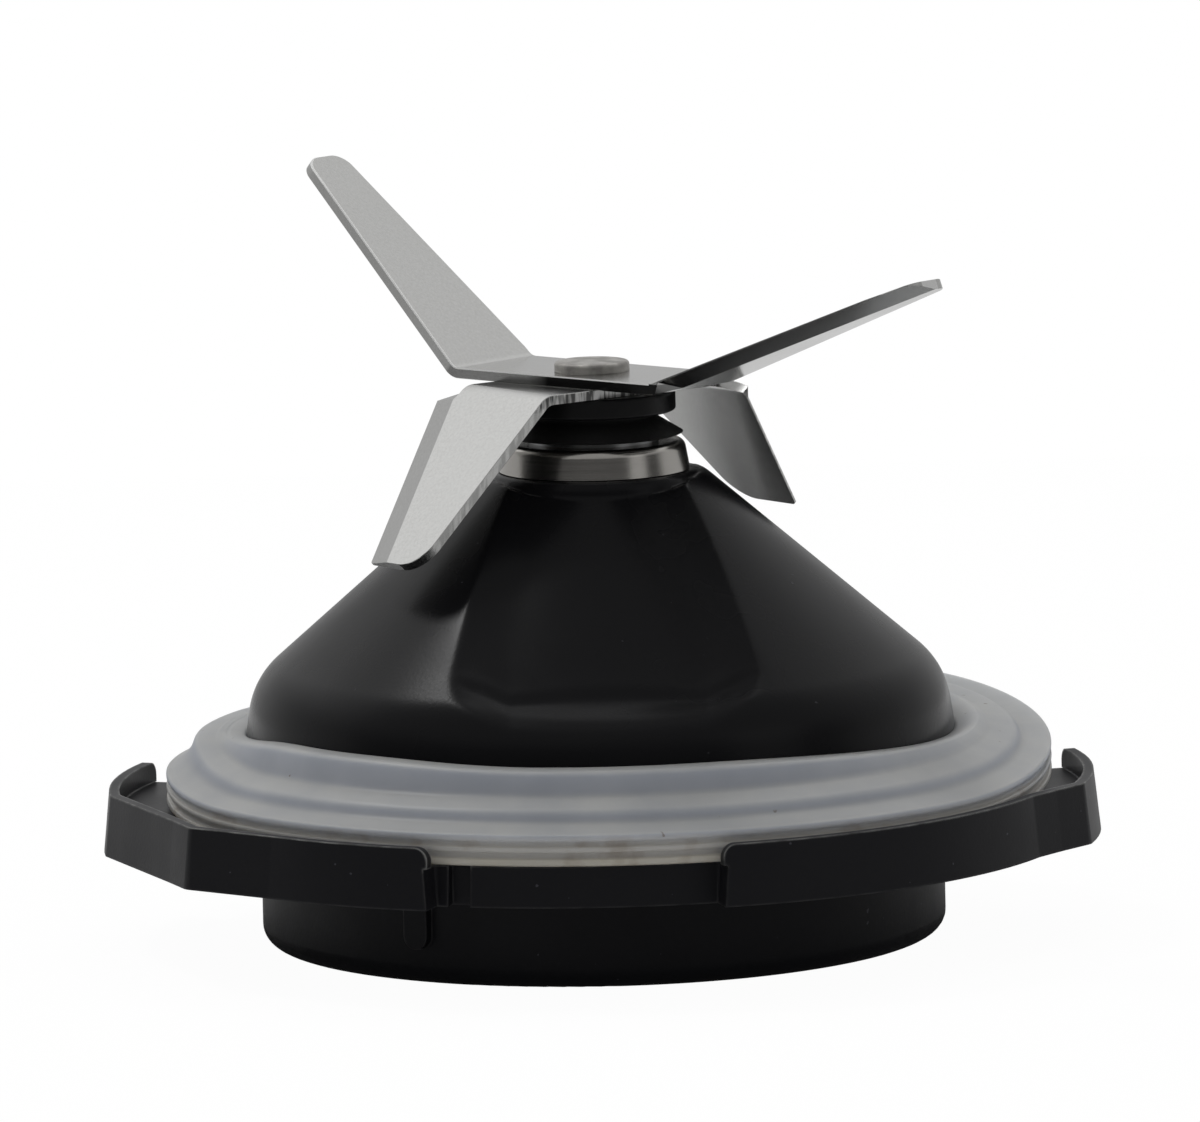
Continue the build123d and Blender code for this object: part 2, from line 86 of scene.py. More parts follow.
class Finish:
    """A principled material with short calls for its node graph. Lengths are in metres."""

    def __init__(self, name, **sockets):
        self.material = bpy.data.materials.new(name)
        self.material.use_nodes = True
        self.tree = self.material.node_tree
        self.shader = self.tree.nodes["Principled BSDF"]
        for socket, value in sockets.items():
            self.shader.inputs[socket.replace("_", " ")].default_value = value
        self.place = self.node("ShaderNodeTexCoord").outputs["Object"]

    def node(self, kind, **settings):
        made = self.tree.nodes.new(kind)
        for key, value in settings.items():
            setattr(made, key, value)
        return made

    def link(self, source, target):
        self.tree.links.new(source, target)

    def feed(self, socket, source):
        self.link(source, self.shader.inputs[socket])

    def normal(self):
        """Direction that the surface faces."""
        return self.node("ShaderNodeNewGeometry").outputs["Normal"]

    def axes(self, vector):
        """The parts of a vector along X, Y and Z."""
        made = self.node("ShaderNodeSeparateXYZ")
        self.link(vector, made.inputs["Vector"])
        return made.outputs

    def noise(self, cells, detail, stretch=(1, 1, 1)):
        """Noise over the object's own coordinates, stretched along each axis, with so many cells to a metre."""
        mapping = self.node("ShaderNodeMapping")
        mapping.inputs["Scale"].default_value = stretch
        self.link(self.place, mapping.inputs["Vector"])
        made = self.node("ShaderNodeTexNoise")
        made.inputs["Scale"].default_value = cells
        made.inputs["Detail"].default_value = detail
        self.link(mapping.outputs["Vector"], made.inputs["Vector"])
        return made.outputs["Fac"]

    def spread(self, value, within, out=RISING):
        """Map a value from one range to another, held at its ends."""
        made = self.node("ShaderNodeMapRange")
        for socket, number in zip(RANGE_SOCKETS, (*within, *out)):
            made.inputs[socket].default_value = number
        self.link(value, made.inputs["Value"])
        return made.outputs["Result"]

    def reckon(self, operation, first, second):
        """Arithmetic on two values, each a socket or a number."""
        made = self.node("ShaderNodeMath", operation=operation)
        for socket, value in zip(made.inputs, (first, second)):
            if isinstance(value, (int, float)):
                socket.default_value = value
            else:
                self.link(value, socket)
        return made.outputs["Value"]

    def product(self, first, *others):
        """Product of several values, each a socket or a number."""
        for other in others:
            first = self.reckon("MULTIPLY", first, other)
        return first

    def blend(self, factor, first, second):
        """Mix of two colours by a factor."""
        made = self.node("ShaderNodeMix", data_type="RGBA")
        self.link(factor, made.inputs["Factor"])
        for socket, colour in ((made.inputs[MIX_FIRST], first), (made.inputs[MIX_SECOND], second)):
            if isinstance(colour, tuple):
                socket.default_value = (*colour, 1.0)
            else:
                self.link(colour, socket)
        return made.outputs[MIX_RESULT]

    def rounding(self, radius):
        """Surface direction as if sharp edges were rounded off."""
        made = self.node("ShaderNodeBevel", samples=8)
        made.inputs["Radius"].default_value = radius
        return made.outputs["Normal"]

    def edges(self, radius):
        """1 on sharp edges and 0 away from them: where a rounded edge would turn from the flat surface."""
        turned = self.node("ShaderNodeVectorMath", operation="DOT_PRODUCT")
        self.link(self.rounding(radius), turned.inputs[0])
        self.link(self.normal(), turned.inputs[1])
        return self.spread(turned.outputs["Value"], within=(0.97, 0.80))

    def bump(self, height, distance, normal=None):
        """Raise the surface by a height value, by the distance at full value."""
        made = self.node("ShaderNodeBump")
        made.inputs["Distance"].default_value = distance
        made.inputs["Strength"].default_value = 1.0
        self.link(height, made.inputs["Height"])
        if normal:
            self.link(normal, made.inputs["Normal"])
        self.feed("Normal", made.outputs["Normal"])


# Moulded plastic: rubbed edges, strongest above the skirt, and dust as a multiple of the plastic's colour
RUBBED_GREY = (0.40, 0.40, 0.39)
RUBBED_WIDTH = 0.0005
SKIRT_TOP = (0.0135, 0.0150)
SKIRT_WEAR = 0.1
DUST_BRIGHTER = 5.0


def black_moulding(name, colour, shine, roughness, grain, edge_round, wear):
    """Black moulded plastic: fine grain, uneven gloss, edges rounded off and rubbed pale, a few dust specks."""
    finish = Finish(name, Base_Color=(*colour, 1.0), Specular_IOR_Level=shine)
    cloud = finish.noise(cells=70.0, detail=3.0)
    finish.feed("Roughness", finish.spread(cloud, within=BAND, out=(roughness - 0.05, roughness + 0.06)))
    specks = finish.spread(finish.noise(cells=1300.0, detail=1.0), within=(0.79, 0.82))
    dusty = finish.blend(specks, colour, tuple(DUST_BRIGHTER * part for part in colour))
    patches = finish.spread(finish.noise(cells=400.0, detail=3.0), within=(0.35, 0.65), out=(0.2, wear))
    over_skirt = finish.spread(finish.axes(finish.place)["Z"], within=SKIRT_TOP, out=(SKIRT_WEAR, 1.0))
    rubbed = finish.product(finish.edges(RUBBED_WIDTH), patches, over_skirt)
    finish.feed("Base Color", finish.blend(rubbed, dusty, RUBBED_GREY))
    finish.bump(finish.noise(cells=2600.0, detail=2.0), grain, normal=finish.rounding(edge_round))
    return finish.material


# Blade sheet: colours, then heights at which the two hubs meet, the lower one's edge starts and the upper's
# edge starts and ends, and how far right its painted dark reflection starts
SHEET_MEAN = (0.51, 0.51, 0.50)
SHEET_DARK, SHEET_LIGHT = (0.485, 0.485, 0.475), (0.53, 0.53, 0.52)
TORN_DARK, TORN_LIGHT = (0.13, 0.13, 0.128), (0.72, 0.72, 0.71)
# Near black painted on the upper hub's front edge as a dark reflection
HUB_EDGE_PAINTED_DARK = (0.03, 0.03, 0.03)
# Near white painted on the burr as its highlight; the raised burr itself is real
BURR_PAINTED_HIGHLIGHT = (0.97, 0.97, 0.96)
HUBS_MEET = (0.05670, 0.05680)
LOWER_HUB_EDGE = (0.0550, 0.0556)
UPPER_HUB_FOOT = (0.05670, 0.05676)
UPPER_HUB_TOP = (0.05785, 0.05780)
PAINTED_DARK_STARTS = (-0.0065, -0.0045)


def blade_steel():
    """Stainless sheet: fine rolled grain, cloudy wear, torn marks on the lower hub's edge, a burr with a painted
    highlight.

    The right half of the upper hub's front edge is painted near black as a dark reflection. The faces' own
    attribute burr says where a highlight is painted, and where the sheet is rougher and less metallic.
    """
    finish = Finish("blade_steel", Base_Color=(*SHEET_MEAN, 1.0), Metallic=1.0)
    place = finish.axes(finish.place)
    upright = finish.reckon("ABSOLUTE", finish.axes(finish.normal())["Z"], 0.0)
    sheared = finish.spread(upright, within=(0.30, 0.42), out=FALLING)
    lower_hub = finish.spread(place["Z"], within=HUBS_MEET, out=FALLING)
    not_on_arms = finish.spread(place["Z"], within=LOWER_HUB_EDGE, out=(0.3, 1.0))
    hub_edge = finish.product(sheared, lower_hub, not_on_arms)
    grain = finish.noise(cells=3200.0, detail=2.0)
    cloud = finish.noise(cells=90.0, detail=3.0)
    marks = finish.noise(cells=1.0, detail=4.0, stretch=(1900.0, 1900.0, 200.0))
    burr = finish.node("ShaderNodeAttribute", attribute_name="burr").outputs["Fac"]

    smooth = finish.spread(cloud, within=BAND, out=(0.15, 0.21))
    torn_rough = finish.reckon("ADD", smooth, finish.product(hub_edge, 0.15))
    finish.feed("Roughness", finish.reckon("ADD", torn_rough, finish.product(burr, 0.4)))
    finish.feed("Metallic", finish.spread(burr, within=RISING, out=(1.0, 0.3)))

    face = finish.blend(finish.spread(grain, within=BAND), SHEET_DARK, SHEET_LIGHT)
    over_foot = finish.spread(place["Z"], within=UPPER_HUB_FOOT)
    under_top = finish.spread(place["Z"], within=UPPER_HUB_TOP)
    right_half = finish.spread(place["X"], within=PAINTED_DARK_STARTS)
    # Painted dark reflection: the right half of the upper hub's front edge is made near black
    face = finish.blend(finish.product(sheared, over_foot, under_top, right_half), face, HUB_EDGE_PAINTED_DARK)
    # Painted highlight: near white where the attribute burr is set
    face = finish.blend(burr, face, BURR_PAINTED_HIGHLIGHT)
    torn = finish.blend(finish.spread(marks, within=(0.44, 0.56)), TORN_DARK, TORN_LIGHT)
    finish.feed("Base Color", finish.blend(hub_edge, face, torn))
    ridges = finish.product(marks, hub_edge, 3.0)
    finish.bump(finish.reckon("ADD", finish.product(grain, 0.15), ridges), 0.00001)
    return finish.material


def turned_steel(name, colour, roughness):
    """Bright turned metal with fine rings around the axis."""
    finish = Finish(name, Base_Color=(*colour, 1.0), Metallic=1.0)
    rings = finish.noise(cells=1.0, detail=2.0, stretch=(60.0, 60.0, 9000.0))
    finish.feed("Roughness", finish.spread(rings, within=BAND, out=(roughness - 0.02, roughness + 0.03)))
    finish.bump(rings, 0.000003)
    return finish.material


HEAD_MEAN = (0.45, 0.44, 0.41)
HEAD_DARK, HEAD_LIGHT = (0.27, 0.26, 0.245), (0.45, 0.435, 0.41)


def riveted_steel():
    """Shaft steel whose riveted head is hammered and worn dull: mottled light and dark, partly oxidised."""
    finish = Finish("shaft_steel", Base_Color=(*HEAD_MEAN, 1.0), Metallic=0.55)
    mottle = finish.noise(cells=600.0, detail=4.0)
    patches = finish.spread(mottle, within=(0.38, 0.62))
    finish.feed("Base Color", finish.blend(patches, HEAD_DARK, HEAD_LIGHT))
    finish.feed("Roughness", finish.spread(mottle, within=BAND, out=(0.55, 0.35)))
    finish.bump(mottle, 0.00003, normal=finish.rounding(0.0003))
    return finish.material


def plain_metal(name, colour, roughness):
    """Inner metal part with a slight mottle."""
    finish = Finish(name, Base_Color=(*colour, 1.0), Metallic=1.0)
    mottle = finish.noise(cells=600.0, detail=3.0)
    finish.feed("Roughness", finish.spread(mottle, within=BAND, out=(roughness - 0.08, roughness + 0.08)))
    return finish.material


def soft_black(name, colour, roughness):
    """Matt black rubber with a fine skin."""
    finish = Finish(name, Base_Color=(*colour, 1.0), Specular_IOR_Level=0.2)
    skin = finish.noise(cells=1500.0, detail=3.0)
    finish.feed("Roughness", finish.spread(skin, within=BAND, out=(roughness - 0.06, roughness + 0.06)))
    finish.bump(skin, 0.00001)
    return finish.material


# Silicone: colours, then the heights of the yellowed lip and of the tanned lower ribs
# The ledge grey is painted light: it makes surfaces that face up paler, as if lit from above
SMOKY_BLUE, LIT_LEDGE_PAINTED_GREY = (0.41, 0.43, 0.47), (0.465, 0.47, 0.465)
YELLOWED = (0.60, 0.56, 0.44)
SMOKE = (0.29, 0.31, 0.35)
RIB_TAN = (0.58, 0.55, 0.49)
BROWN_STAIN = (0.20, 0.13, 0.07)
BROWN_SPECK = (0.22, 0.20, 0.18)
LIP_TOP = (0.0147, 0.0149)
RIBS_TOP = (0.0172, 0.0162)


def smoky_silicone():
    """Translucent bluish grey silicone: paler and warmer on level ledges as painted light, yellowed lower lip,
    brown stains and specks.
    """
    finish = Finish("silicone", Roughness=0.42, Subsurface_Weight=0.7, Subsurface_Scale=0.004, IOR=1.41,
                    Subsurface_Radius=(1.0, 1.05, 1.15))
    height = finish.axes(finish.place)["Z"]
    # Painted light: the more a surface faces up, the more of the paler ledge grey it gets
    level = finish.spread(finish.axes(finish.normal())["Z"], within=(0.45, 0.9))
    body = finish.blend(level, SMOKY_BLUE, LIT_LEDGE_PAINTED_GREY)
    body = finish.blend(finish.spread(height, within=LIP_TOP, out=FALLING), body, YELLOWED)
    cloud = finish.spread(finish.noise(cells=160.0, detail=4.0), within=BAND, out=(0.0, 0.35))
    body = finish.blend(cloud, body, SMOKE)
    low = finish.spread(height, within=RIBS_TOP)
    body = finish.blend(finish.product(low, 0.6), body, RIB_TAN)
    stain = finish.spread(finish.noise(cells=260.0, detail=4.0), within=(0.58, 0.72), out=(0.0, 0.35))
    body = finish.blend(finish.product(low, stain), body, BROWN_STAIN)
    specks = finish.spread(finish.noise(cells=900.0, detail=1.0), within=(0.80, 0.83))
    finish.feed("Base Color", finish.blend(specks, body, BROWN_SPECK))
    finish.bump(finish.noise(cells=900.0, detail=2.0), 0.00001)
    return finish.material


def felt():
    """Wool felt with short fibres."""
    finish = Finish("felt", Base_Color=(0.50, 0.46, 0.38, 1.0), Roughness=0.95)
    finish.bump(finish.noise(cells=2500.0, detail=4.0), 0.0001)
    return finish.material


finishes = {
    "base_plastic": black_moulding("base_plastic", (0.010, 0.010, 0.012), shine=0.14, roughness=0.42,
                                   grain=0.000012, edge_round=0.0003, wear=0.8),
    "cone_plastic": black_moulding("cone_plastic", (0.008, 0.008, 0.009), shine=0.11, roughness=0.26,
                                   grain=0.000008, edge_round=0.0003, wear=0.2),
    "silicone": smoky_silicone(),
    "black_rubber": soft_black("black_rubber", (0.012, 0.012, 0.012), roughness=0.55),
    "black_washer": soft_black("black_washer", (0.004, 0.004, 0.0045), roughness=0.40),
    "turned_metal": turned_steel("turned_metal", (0.44, 0.425, 0.40), roughness=0.22),
    "zinc_steel": plain_metal("zinc_steel", (0.55, 0.56, 0.57), roughness=0.38),
    "bronze": plain_metal("bronze", (0.55, 0.40, 0.22), roughness=0.45),
    "felt": felt(),
    "shaft_steel": riveted_steel(),
    "blade_steel": blade_steel(),
}


def eased(value, start, end):
    """Smooth step: 3 t squared less 2 t cubed, where t runs from 0 to 1 between start and end."""
    share = np.clip((value - start) / (end - start), 0.0, 1.0)
    return share * share * (3.0 - 2.0 * share)


def rounded_loop(corners, size, steps):
    """Closed outline whose corners become parabolas: each blends from one side to the next through its corner.

    A round takes at most 0.45 of the side it lies on, so that two rounds never meet.
    """
    before = np.roll(corners, 1, axis=0) - corners
    after = np.roll(corners, -1, axis=0) - corners
    lengths = [np.linalg.norm(side, axis=1, keepdims=True) for side in (before, after)]
    start = corners + before / lengths[0] * np.minimum(size, 0.45 * lengths[0])
    end = corners + after / lengths[1] * np.minimum(size, 0.45 * lengths[1])
    share = np.linspace(0.0, 1.0, steps)[None, :, None]
    arcs = (start[:, None] * (1 - share) ** 2 + 2 * corners[:, None] * share * (1 - share)
            + end[:, None] * share ** 2)
    return arcs.reshape(-1, 2)


def grid_mesh(name, points, wrap_rows, wrap_columns):
    """Mesh over a grid of points, rows by columns, closed along the directions that wrap and by flat ends."""
    rows, columns = points.shape[:2]
    row = np.arange(rows if wrap_rows else rows - 1)[:, None]
    column = np.arange(columns if wrap_columns else columns - 1)[None, :]
    next_row = (row + 1) % rows
    next_column = (column + 1) % columns
    corners = [(row, column), (row, next_column), (next_row, next_column), (next_row, column)]
    faces = np.stack([a * columns + b for a, b in corners], axis=-1).reshape(-1, 4).tolist()
    if not wrap_rows:
        faces += [list(range(columns))[::-1], [(rows - 1) * columns + place for place in range(columns)]]
    mesh = bpy.data.meshes.new(name)
    mesh.from_pydata(points.reshape(-1, 3), [], faces)
    mesh.polygons.foreach_set("use_smooth", np.ones(len(faces), dtype=bool))
    mesh.update()
    return mesh


def add_piece(name, mesh, body, slot):
    """Put a mesh into the scene as a piece that rides on a body and wears a material slot's finish."""
    piece = bpy.data.objects.new(name, mesh)
    scene.collection.objects.link(piece)
    mesh.materials.append(finishes[slot])
    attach(piece, body)
    return piece


# Jar gasket: half section in millimetres, then how the worn ring sits, by azimuths in degrees from the front
GASKET_SECTION = np.array([
    (36.1, 14.0), (45.0, 14.0), (45.0, 14.75), (44.55, 14.8), (44.55, 15.4), (45.0, 15.45), (45.0, 15.95),
    (44.55, 16.0), (44.55, 16.5), (45.0, 16.55), (45.0, 17.2), (44.4, 17.3), (42.25, 17.95), (41.7, 19.1),
    (39.05, 20.15), (38.1, 22.45), (35.86, 22.7), (36.1, 20.9)])
GASKET_BORE = 36.25
GASKET_EDGE = 45.0
GASKET_ROUND = 0.55
GASKET_ROUND_STEPS = 5
GASKET_COLUMNS = 360
GASKET_SHIFT = 0.8
GASKET_LIFT = 4.9
GASKET_RISES = (50.0, 140.0)
GASKET_FALLS = (160.0, 235.0)
# Each wave: azimuths between which it rises and falls, and its lift at each of the radii
WAVE_RADII = (36.1, 37.0, 38.1, 39.0, 41.7, 42.25, 43.7, 45.0)
GASKET_WAVES = (
    ((200.0, 245.0), (265.0, 300.0), (-1.2, -1.1, -0.8, 1.2, 2.1, 1.8, 0.9, 0.8)),
    ((285.0, 305.0), (320.0, 350.0), (0.45, 0.45, 0.4, 0.0, 0.0, 0.0, 0.0, 0.0)),
    ((15.0, 85.0), (150.0, 195.0), (-1.8, -1.6, -1.2, 0.0, 0.0, 0.0, 0.0, 0.0)))
STEPS_FROM = 16.8


def make_gasket():
    """Half section turned about the axis: x = r sin a + shift w, y = -r cos a, z = height + lift(a) w + waves.

    The weight w grows from 0 at the bore to 1 at the outer edge, so the bore keeps its seat on the cone
    while the outer edge sits slightly to the right and stands up at the back right. Waves
    on the left and right press the steps flatter, by lifts that depend on the radius. They act in full on the
    steps and by the weight w on what lies below them.
    """
    loop = rounded_loop(GASKET_SECTION, GASKET_ROUND, GASKET_ROUND_STEPS)
    radius, height = loop[:, 0], loop[:, 1]
    weight = np.clip((radius - GASKET_BORE) / (GASKET_EDGE - GASKET_BORE), 0.0, 1.0)
    turn = np.linspace(0.0, 360.0, GASKET_COLUMNS, endpoint=False)
    lift = GASKET_LIFT * eased(turn, *GASKET_RISES) * (1.0 - eased(turn, *GASKET_FALLS))
    waves = sum((eased(turn, *rises) * (1.0 - eased(turn, *falls)))[:, None]
                * np.interp(radius, WAVE_RADII, lifts)
                for rises, falls, lifts in GASKET_WAVES)
    raised = lift[:, None] * weight + np.where(height > STEPS_FROM, 1.0, weight) * waves
    angle = np.radians(turn)[:, None]
    points = np.stack([
        radius * np.sin(angle) + GASKET_SHIFT * weight,
        -radius * np.cos(angle),
        height + raised], axis=-1)
    mesh = grid_mesh("gasket_ring", points * MM, True, True)
    piece = add_piece("gasket_ring", mesh, "base", "silicone")
    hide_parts("jar_gasket")


# Cone housing: outline from foot to top with the rounding of each corner, wall, then the two flutes
CONE_CORNERS = np.array([(36.05, 14.0), (36.05, 20.95), (35.15, 26.75), (11.05, 47.65), (6.75, 47.65)])
CONE_ROUNDS = (0.0, 3.0, 8.2, 2.5, 0.0)
CONE_INSIDE = np.array([(6.75, 41.65), (14.0, 41.65), (33.05, 24.6), (33.05, 14.0)])
CONE_SPACING = 0.36
CONE_SHARP = math.radians(40.0)
ARC_POINTS = 33
FLUTE_AZIMUTHS = (1.4, 181.4)
FLUTE_COLUMNS = np.linspace(-58.0, 58.0, 186)
PLAIN_COLUMNS = np.linspace(60.0, 120.0, 31)
FLUTE_FLOOR = 1.5
FLUTE_SIDE = 2.8
LEDGE_PLACE = (35.15, 27.05)
LEDGE_FALL = math.radians(14.0)
LEDGE_HALF = 10.0
LEDGE_RISE = math.tan(math.radians(19.0))
LEAST_TILT = 0.2
# How softly the flute's surfaces meet, and the depths between which these change
LOBE_SOFT = 0.10
FLOOR_SOFT = 0.6
LEDGE_SOFT = 0.8
LEDGE_ROUND = 1.5
CORNER_FADE = (0.0, 1.3)
ROUND_FADE = (-0.3, 1.0)
LEDGE_TAKES_OVER = (-0.3, 0.9)
FAR_FADE = (-4.0, -0.5)
TOP_FADE = (0.0, 0.6)
OUTSIDE = -9.0


def soft_least(first, second, blend):
    """The lesser of two values, rounded over where they meet.

    It is half of their sum less the root of their difference squared plus the blend squared.
    """
    return 0.5 * (first + second - np.sqrt((first - second) ** 2 + blend * blend))


def profile_line(corners, rounds, spacing):
    """Points at about even spacing along an open outline whose corners are replaced by circular arcs."""
    stretch = [corners[0]]
    for place, size in list(zip(range(len(corners)), rounds))[1:-1]:
        before = corners[place - 1] - corners[place]
        after = corners[place + 1] - corners[place]
        before, after = before / np.linalg.norm(before), after / np.linalg.norm(after)
        half = 0.5 * math.acos(float(np.clip(before @ after, -1.0, 1.0)))
        reach = size / math.tan(half)
        middle = corners[place] + (before + after) / np.linalg.norm(before + after) * size / math.sin(half)
        start, end = corners[place] + before * reach - middle, corners[place] + after * reach - middle
        share = np.linspace(0.0, 1.0, ARC_POINTS)[:, None]
        arc = start * (1 - share) + end * share
        stretch.extend(middle + arc / np.linalg.norm(arc, axis=1, keepdims=True) * size)
    stretch = np.array(stretch + [corners[-1]])
    length = np.concatenate([[0.0], np.cumsum(np.linalg.norm(np.diff(stretch, axis=0), axis=1))])
    even = np.linspace(0.0, length[-1], int(length[-1] / spacing))
    return np.stack([np.interp(even, length, stretch[:, axis]) for axis in (0, 1)], axis=-1)


def flute_depth(radius, height, slope, turn, azimuth):
    """Depth of one flute under the turned cone, square to its surface.

    It is the least of the floor's depth, the depth of a flat parallel to the slope, which is the side's depth
    less the rise of the round cone over that flat, and the depth down to the ledge, and never less than 0.
    Each meeting is rounded over, and the ledge's roundings fade out towards its two corners.
    """
    angle = np.radians((turn - azimuth + 180.0) % 360.0 - 180.0)
    ahead, aside = radius * np.cos(angle), np.abs(radius * np.sin(angle))
    side = FLUTE_SIDE - (radius - ahead) * slope[..., 0]
    end_rise = LEDGE_RISE * np.maximum(aside - LEDGE_HALF, 0.0)
    above = ((ahead - LEDGE_PLACE[0]) * math.sin(LEDGE_FALL)
             + (height - LEDGE_PLACE[1] - end_rise) * math.cos(LEDGE_FALL))
    tilt = slope[..., 0] * np.cos(angle) * math.sin(LEDGE_FALL) + slope[..., 1] * math.cos(LEDGE_FALL)
    over_ledge = above / np.maximum(tilt, LEAST_TILT)
    ledge_soft = LOBE_SOFT + (LEDGE_SOFT - LOBE_SOFT) * eased(side, *CORNER_FADE)
    flat = soft_least(np.full_like(side, FLUTE_FLOOR), side, FLOOR_SOFT)
    deep = soft_least(flat, over_ledge, ledge_soft)
    on_ledge = eased(side - over_ledge, *LEDGE_TAKES_OVER) * eased(side, *ROUND_FADE)
    edge = (LOBE_SOFT + (LEDGE_ROUND - LOBE_SOFT) * on_ledge) * eased(deep, *FAR_FADE)
    deep = np.where(np.cos(angle) > 0.0, deep, OUTSIDE)
    return -soft_least(np.zeros_like(deep), -deep, edge) * eased(slope[..., 0], *TOP_FADE)


def make_cone():
    """Cone shell: an outline turned about the axis and pressed in by the flutes, closed by its plain inside."""
    outside = profile_line(CONE_CORNERS, CONE_ROUNDS, CONE_SPACING)
    along = np.gradient(outside, axis=0)
    along /= np.linalg.norm(along, axis=1, keepdims=True)
    outward = np.stack([along[:, 1], -along[:, 0]], axis=-1)
    turn = np.concatenate([azimuth + columns for columns in (FLUTE_COLUMNS, PLAIN_COLUMNS)
                           for azimuth in FLUTE_AZIMUTHS])
    turn = np.sort(turn % 360.0)[:, None]
    radius, height = outside[None, :, 0], outside[None, :, 1]
    depth = sum(flute_depth(radius, height, outward[None], turn, azimuth) for azimuth in FLUTE_AZIMUTHS)
    radius = radius - depth * outward[None, :, 0]
    height = height - depth * outward[None, :, 1]
    within = np.broadcast_to(CONE_INSIDE, (len(turn), *CONE_INSIDE.shape))
    section = np.concatenate([np.stack([radius, height], axis=-1), within], axis=1)
    angle = np.radians(turn)
    points = np.stack([
        section[..., 0] * np.sin(angle), -section[..., 0] * np.cos(angle), section[..., 1]], axis=-1)
    mesh = grid_mesh("cone_shell", points * MM, True, True)
    mesh.set_sharp_from_angle(angle=CONE_SHARP)
    piece = add_piece("cone_shell", mesh, "base", "cone_plastic")
    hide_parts("cone_housing")


# Blades: sheet, bend and grinding in millimetres and degrees. Each arm has its length after the bend, its bend,
# the share of the bend at which its shoulder starts, and its trailing side's width to spare
SHEET = 1.0
BEND_INSIDE = 1.4
SHOULDER_RUN = 0.8
EDGE_BREAK = 0.06
EDGE_DROP = 0.04
BURR_WIDTH = 0.34
BURR_FADE = (2.0, 6.0)
BURR_FACES = slice(2, 4)
# Share of the painted highlight on the arms' end faces, which makes them lighter
TIP_END_PAINTED_HIGHLIGHT = 0.5
BEND_ROWS, SHOULDER_ROWS, TAPER_ROWS, TIP_ROWS = 9, 4, 16, 16
BLADE_SHARP = math.radians(7.0)
UPPER_BLADE = dict(
    bottom=56.75, azimuth=-131.2, bend=12.8, half=6.05, shoulder=6.05, tip=2.8, lead_round=1.7,
    trail_round=1.7, bevel=(3.4, 0.95), arms=((29.55, 41.1, 1.0, 0.0), (33.5, 20.7, 1.0, 0.0)), sense=1.0,
    burr=0.10)
LOWER_BLADE = dict(
    bottom=55.75, azimuth=-52.3, bend=10.1, half=6.7, shoulder=10.4, tip=4.2, lead_round=0.3,
    trail_round=3.0, bevel=(3.4, 0.75), arms=((20.8, 47.2, 1.0, 0.0), (17.4, 48.9, 0.35, 1.6)), sense=-1.0,
    burr=0.0)


def corner_loss(left, size):
    """How far a round draws in a side at a distance before the end: its size less its circle's height."""
    inside = np.clip(size - left, 0.0, size)
    return size - np.sqrt(np.maximum(size * size - inside * inside, 0.0))


def arm_rows(blade, length, lift, early, spare):
    """Rows across one arm from bend to tip: angle turned, run after the bend, two half widths, grinding, burr.

    The sides taper straight from bend or shoulder to the tip, less the loss in the tip's round corners. The
    shoulder starts early, at a share of the bend, or after it. The trailing side may have width to spare.
    """
    turn = np.linspace(0.0, math.radians(lift), BEND_ROWS)
    share = turn / turn[-1]
    half, shoulder, tip = blade["half"], blade["shoulder"], blade["tip"]
    bend_lead = half + (shoulder - half) * np.clip((share - early) / max(1.0 - early, 0.01), 0.0, 1.0)
    bend_trail = half + spare * eased(share, 0.0, 1.0)
    tip_round = max(blade["lead_round"], blade["trail_round"])
    last = length - tip_round * (1.0 - np.sin(np.linspace(0.0, math.pi / 2, TIP_ROWS)))
    run = np.concatenate([
        np.linspace(0.0, SHOULDER_RUN, SHOULDER_ROWS)[1:],
        np.linspace(SHOULDER_RUN, last[0], TAPER_ROWS)[1:-1],
        last])
    lead = np.interp(run, (0.0, SHOULDER_RUN, length), (bend_lead[-1], shoulder, tip))
    trail = np.interp(run, (0.0, length), (bend_trail[-1], tip + 0.5 * spare))
    loss = corner_loss(length - run, blade["lead_round"])
    trail = trail - corner_loss(length - run, blade["trail_round"])
    ground = np.clip(run / SHOULDER_RUN, 0.0, 1.0) * np.clip(1.0 - loss / blade["bevel"][0], 0.0, 1.0)
    burr = blade["burr"] * eased(length - run, *BURR_FADE)
    bent = np.stack([turn, 0 * turn, bend_lead, bend_trail, 0 * turn, 0 * turn + blade["burr"]], axis=-1)
    straight = np.stack([0 * run + turn[-1], run, lead - loss, trail, ground, burr], axis=-1)
    return np.concatenate([bent, straight])


def sheet_side(half, ground, bevel, burr):
    """Five points around one edge of the sheet, from its ground face to its inner face: bevel, edge, burr."""
    width, depth = bevel
    inner = half - EDGE_BREAK - ground * (width - EDGE_BREAK)
    rim = EDGE_BREAK + ground * (depth - EDGE_BREAK)
    across = [inner, half, half, half - 0.5 * EDGE_BREAK, half - BURR_WIDTH]
    height = [0 * half, rim, 0 * half + SHEET - EDGE_DROP, SHEET + burr, 0 * half + SHEET]
    return np.stack([np.stack(across, axis=-1), np.stack(height, axis=-1)], axis=-1)


